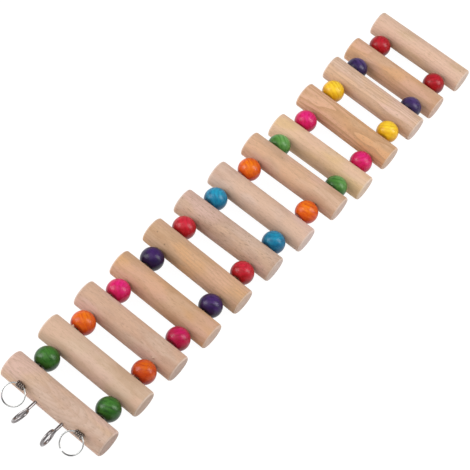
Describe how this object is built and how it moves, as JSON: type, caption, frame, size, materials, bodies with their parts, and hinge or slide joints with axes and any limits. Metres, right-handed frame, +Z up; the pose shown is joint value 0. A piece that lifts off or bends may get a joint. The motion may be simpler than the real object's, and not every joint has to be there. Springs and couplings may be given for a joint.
{
  "type": "rodent ladder bridge",
  "caption": "Bendable pet ladder bridge: round wooden rungs and painted wooden beads strung on a bent wire, with screw hooks and split rings at one end.",
  "frame": {"origin": "middle of the ladder's bounding box, on the floor that it lies on", "axes": "+X along the ladder from the hooks to the plain end, +Y to the left along the rungs, +Z up"},
  "size_m": [0.4372, 0.0798, 0.0243],
  "materials": {
    "wood": "sanded, bare",
    "wire": "bright drawn wire",
    "hook_wire": "bright plated",
    "paint_green": "semi-gloss paint on wood",
    "paint_orange": "semi-gloss paint on wood",
    "paint_pink": "semi-gloss paint on wood",
    "paint_purple": "semi-gloss paint on wood",
    "paint_red": "semi-gloss paint on wood",
    "paint_blue": "semi-gloss paint on wood",
    "paint_light_green": "semi-gloss paint on wood",
    "paint_yellow": "semi-gloss paint on wood"
  },
  "bodies": {
    "step_01": {"rung_01": "wood", "rail_wire": "wire", "hook_left": "hook_wire", "hook_right": "hook_wire"},
    "step_02": {"rung_02": "wood"},
    "step_03": {"rung_03": "wood"},
    "step_04": {"rung_04": "wood"},
    "step_05": {"rung_05": "wood"},
    "step_06": {"rung_06": "wood"},
    "step_07": {"rung_07": "wood"},
    "step_08": {"rung_08": "wood"},
    "step_09": {"rung_09": "wood"},
    "step_10": {"rung_10": "wood"},
    "step_11": {"rung_11": "wood"},
    "step_12": {"rung_12": "wood"},
    "step_13": {"rung_13": "wood"},
    "bead_left_01": {"bead_left_01": "paint_green"},
    "bead_left_02": {"bead_left_02": "paint_orange"},
    "bead_left_03": {"bead_left_03": "paint_pink"},
    "bead_left_04": {"bead_left_04": "paint_purple"},
    "bead_left_05": {"bead_left_05": "paint_red"},
    "bead_left_06": {"bead_left_06": "paint_blue"},
    "bead_left_07": {"bead_left_07": "paint_orange"},
    "bead_left_08": {"bead_left_08": "paint_light_green"},
    "bead_left_09": {"bead_left_09": "paint_pink"},
    "bead_left_10": {"bead_left_10": "paint_yellow"},
    "bead_left_11": {"bead_left_11": "paint_purple"},
    "bead_left_12": {"bead_left_12": "paint_red"},
    "bead_right_01": {"bead_right_01": "paint_green"},
    "bead_right_02": {"bead_right_02": "paint_orange"},
    "bead_right_03": {"bead_right_03": "paint_pink"},
    "bead_right_04": {"bead_right_04": "paint_purple"},
    "bead_right_05": {"bead_right_05": "paint_red"},
    "bead_right_06": {"bead_right_06": "paint_blue"},
    "bead_right_07": {"bead_right_07": "paint_orange"},
    "bead_right_08": {"bead_right_08": "paint_light_green"},
    "bead_right_09": {"bead_right_09": "paint_pink"},
    "bead_right_10": {"bead_right_10": "paint_yellow"},
    "bead_right_11": {"bead_right_11": "paint_purple"},
    "bead_right_12": {"bead_right_12": "paint_red"},
    "ring_left": {"ring_left": "wire"},
    "ring_right": {"ring_right": "wire"}
  },
  "joints": [
    {"name": "flex_02", "type": "hinge", "parent": "step_01", "child": "step_02", "pos_m": [-0.16639, 0.00083, 0.01026], "axis": [-0.0087, -1, 0], "range_deg": [-18, 21], "deforming": ["rail_wire"]},
    {"name": "flex_03", "type": "hinge", "parent": "step_02", "child": "step_03", "pos_m": [-0.13299, 0.00129, 0.01011], "axis": [-0.0044, -1, 0], "range_deg": [-19, 20], "deforming": ["rail_wire"]},
    {"name": "flex_04", "type": "hinge", "parent": "step_03", "child": "step_04", "pos_m": [-0.09961, 0.00083, 0.0089], "axis": [-0.0087, -1, 0], "range_deg": [-21, 18], "deforming": ["rail_wire"]},
    {"name": "flex_05", "type": "hinge", "parent": "step_04", "child": "step_05", "pos_m": [-0.06624, 0.00191, 0.00976], "axis": [-0.0175, -0.9998, 0], "range_deg": [-17, 20], "deforming": ["rail_wire"]},
    {"name": "flex_06", "type": "hinge", "parent": "step_05", "child": "step_06", "pos_m": [-0.03285, 0.00209, 0.00976], "axis": [0.0175, -0.9998, 0], "range_deg": [-18, 15], "deforming": ["rail_wire"]},
    {"name": "flex_07", "type": "hinge", "parent": "step_06", "child": "step_07", "pos_m": [0.00053, 0.00071, 0.01013], "axis": [0.0044, -1, 0], "range_deg": [-22, 13], "deforming": ["rail_wire"]},
    {"name": "flex_08", "type": "hinge", "parent": "step_07", "child": "step_08", "pos_m": [0.03354, -0.00141, 0.01569], "axis": [0.0175, -0.9998, 0], "range_deg": [-1, 29], "deforming": ["rail_wire"]},
    {"name": "flex_09", "type": "hinge", "parent": "step_08", "child": "step_09", "pos_m": [0.0663, -0.00241, 0.0094], "axis": [0.0175, -0.9998, 0], "range_deg": [-28, 8], "deforming": ["rail_wire"]},
    {"name": "flex_10", "type": "hinge", "parent": "step_09", "child": "step_10", "pos_m": [0.09955, -0.00063, 0.01113], "axis": [-0.0131, -0.9999, 0], "range_deg": [-8, 20], "deforming": ["rail_wire"]},
    {"name": "flex_11", "type": "hinge", "parent": "step_10", "child": "step_11", "pos_m": [0.13282, 0.00029, 0.01482], "axis": [-0.0044, -1, 0], "range_deg": [-11, 26], "deforming": ["rail_wire"]},
    {"name": "flex_12", "type": "hinge", "parent": "step_11", "child": "step_12", "pos_m": [0.16572, 0.00163, 0.00925], "axis": [0.0131, -0.9999, 0], "range_deg": [-27, 6], "deforming": ["rail_wire"]},
    {"name": "flex_13", "type": "hinge", "parent": "step_12", "child": "step_13", "pos_m": [0.19898, 0.00154, 0.0119], "axis": [0.0218, -0.9998, 0], "range_deg": [-12, 25], "deforming": ["rail_wire"]},
    {"name": "spin_left_01", "type": "hinge", "parent": "step_01", "child": "bead_left_01", "pos_m": [-0.17346, 0.02365, 0.00958], "axis": [0.9934, 0.0738, 0.0873], "continuous": true},
    {"name": "spin_left_02", "type": "hinge", "parent": "step_02", "child": "bead_left_02", "pos_m": [-0.14014, 0.02438, 0.01032], "axis": [0.9988, 0.0398, -0.0279], "continuous": true},
    {"name": "spin_left_03", "type": "hinge", "parent": "step_03", "child": "bead_left_03", "pos_m": [-0.10675, 0.02442, 0.0093], "axis": [0.9984, -0.0245, -0.0509], "continuous": true},
    {"name": "spin_left_04", "type": "hinge", "parent": "step_04", "child": "bead_left_04", "pos_m": [-0.07322, 0.02469, 0.00933], "axis": [0.9955, 0.0776, 0.0547], "continuous": true},
    {"name": "spin_left_05", "type": "hinge", "parent": "step_05", "child": "bead_left_05", "pos_m": [-0.04015, 0.02524, 0.0099], "axis": [0.9993, 0.0338, -0.018], "continuous": true},
    {"name": "spin_left_06", "type": "hinge", "parent": "step_06", "child": "bead_left_06", "pos_m": [-0.00701, 0.02496, 0.0101], "axis": [0.9944, -0.1058, 0.0083], "continuous": true},
    {"name": "spin_left_07", "type": "hinge", "parent": "step_07", "child": "bead_left_07", "pos_m": [0.02615, 0.02309, 0.01365], "axis": [0.9559, -0.1404, 0.2578], "continuous": true},
    {"name": "spin_left_08", "type": "hinge", "parent": "step_08", "child": "bead_left_08", "pos_m": [0.05891, 0.02165, 0.01225], "axis": [0.9302, -0.0814, -0.3579], "continuous": true},
    {"name": "spin_left_09", "type": "hinge", "parent": "step_09", "child": "bead_left_09", "pos_m": [0.09226, 0.02203, 0.0098], "axis": [0.9821, 0.0887, 0.1661], "continuous": true},
    {"name": "spin_left_10", "type": "hinge", "parent": "step_10", "child": "bead_left_10", "pos_m": [0.12575, 0.02311, 0.01372], "axis": [0.9874, 0.0745, 0.1398], "continuous": true},
    {"name": "spin_left_11", "type": "hinge", "parent": "step_11", "child": "bead_left_11", "pos_m": [0.15856, 0.02432, 0.01162], "axis": [0.9475, 0.0915, -0.3065], "continuous": true},
    {"name": "spin_left_12", "type": "hinge", "parent": "step_12", "child": "bead_left_12", "pos_m": [0.19134, 0.02511, 0.01023], "axis": [0.9768, -0.0201, 0.2134], "continuous": true},
    {"name": "spin_right_01", "type": "hinge", "parent": "step_01", "child": "bead_right_01", "pos_m": [-0.17387, -0.02315, 0.00958], "axis": [0.9934, 0.0738, 0.0873], "continuous": true},
    {"name": "spin_right_02", "type": "hinge", "parent": "step_02", "child": "bead_right_02", "pos_m": [-0.14044, -0.02242, 0.01032], "axis": [0.9989, 0.0392, -0.0276], "continuous": true},
    {"name": "spin_right_03", "type": "hinge", "parent": "step_03", "child": "bead_right_03", "pos_m": [-0.10706, -0.02238, 0.0093], "axis": [0.9984, -0.0247, -0.0516], "continuous": true},
    {"name": "spin_right_04", "type": "hinge", "parent": "step_04", "child": "bead_right_04", "pos_m": [-0.07383, -0.02211, 0.00933], "axis": [0.9952, 0.08, 0.0561], "continuous": true},
    {"name": "spin_right_05", "type": "hinge", "parent": "step_05", "child": "bead_right_05", "pos_m": [-0.04015, -0.02155, 0.0099], "axis": [0.9994, 0.0304, -0.0162], "continuous": true},
    {"name": "spin_right_06", "type": "hinge", "parent": "step_06", "child": "bead_right_06", "pos_m": [-0.0065, -0.02184, 0.0101], "axis": [0.9938, -0.1104, 0.0086], "continuous": true},
    {"name": "spin_right_07", "type": "hinge", "parent": "step_07", "child": "bead_right_07", "pos_m": [0.02666, -0.02371, 0.01365], "axis": [0.9592, -0.1349, 0.2485], "continuous": true},
    {"name": "spin_right_08", "type": "hinge", "parent": "step_08", "child": "bead_right_08", "pos_m": [0.05972, -0.02515, 0.01225], "axis": [0.9302, -0.0814, -0.3579], "continuous": true},
    {"name": "spin_right_09", "type": "hinge", "parent": "step_09", "child": "bead_right_09", "pos_m": [0.09236, -0.02476, 0.0098], "axis": [0.9786, 0.0968, 0.1815], "continuous": true},
    {"name": "spin_right_10", "type": "hinge", "parent": "step_10", "child": "bead_right_10", "pos_m": [0.12535, -0.02369, 0.01372], "axis": [0.988, 0.0724, 0.1362], "continuous": true},
    {"name": "spin_right_11", "type": "hinge", "parent": "step_11", "child": "bead_right_11", "pos_m": [0.15876, -0.02248, 0.01162], "axis": [0.9524, 0.0873, -0.2919], "continuous": true},
    {"name": "spin_right_12", "type": "hinge", "parent": "step_12", "child": "bead_right_12", "pos_m": [0.19215, -0.02168, 0.01023], "axis": [0.9779, -0.0191, 0.2081], "continuous": true},
    {"name": "swing_left", "type": "hinge", "parent": "step_01", "child": "ring_left", "pos_m": [-0.19994, 0.02164, 0.01389], "axis": [0.0087, 1, 0], "range_deg": [-45, 170]},
    {"name": "swing_right", "type": "hinge", "parent": "step_01", "child": "ring_right", "pos_m": [-0.20032, -0.02196, 0.01389], "axis": [0.0087, 1, 0], "range_deg": [-45, 170]}
  ]
}
